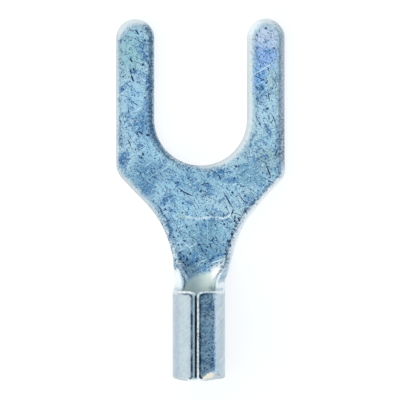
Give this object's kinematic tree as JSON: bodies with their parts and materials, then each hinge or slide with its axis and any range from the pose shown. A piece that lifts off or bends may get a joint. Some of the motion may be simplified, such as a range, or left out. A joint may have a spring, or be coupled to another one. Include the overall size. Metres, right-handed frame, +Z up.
{
  "type": "fork terminal",
  "caption": "Flat two-pronged crimp terminal with an open stud slot, sloping shoulders, a narrow neck and a rolled open-seam wire barrel.",
  "frame": {"origin": "centre of the stud slot's round end, on the underside of the fork", "axes": "+Y along the terminal towards the prong tips, +Z up, out of the face that the barrel's seam is on, +X to the right of the slot seen from the seam side"},
  "size_m": [0.012, 0.0254, 0.0037],
  "materials": {
    "tin_plated_copper": "bright tin plate over copper sheet, scuffed from tumbling"
  },
  "bodies": {
    "root": {"terminal": "tin_plated_copper"}
  },
  "joints": []
}
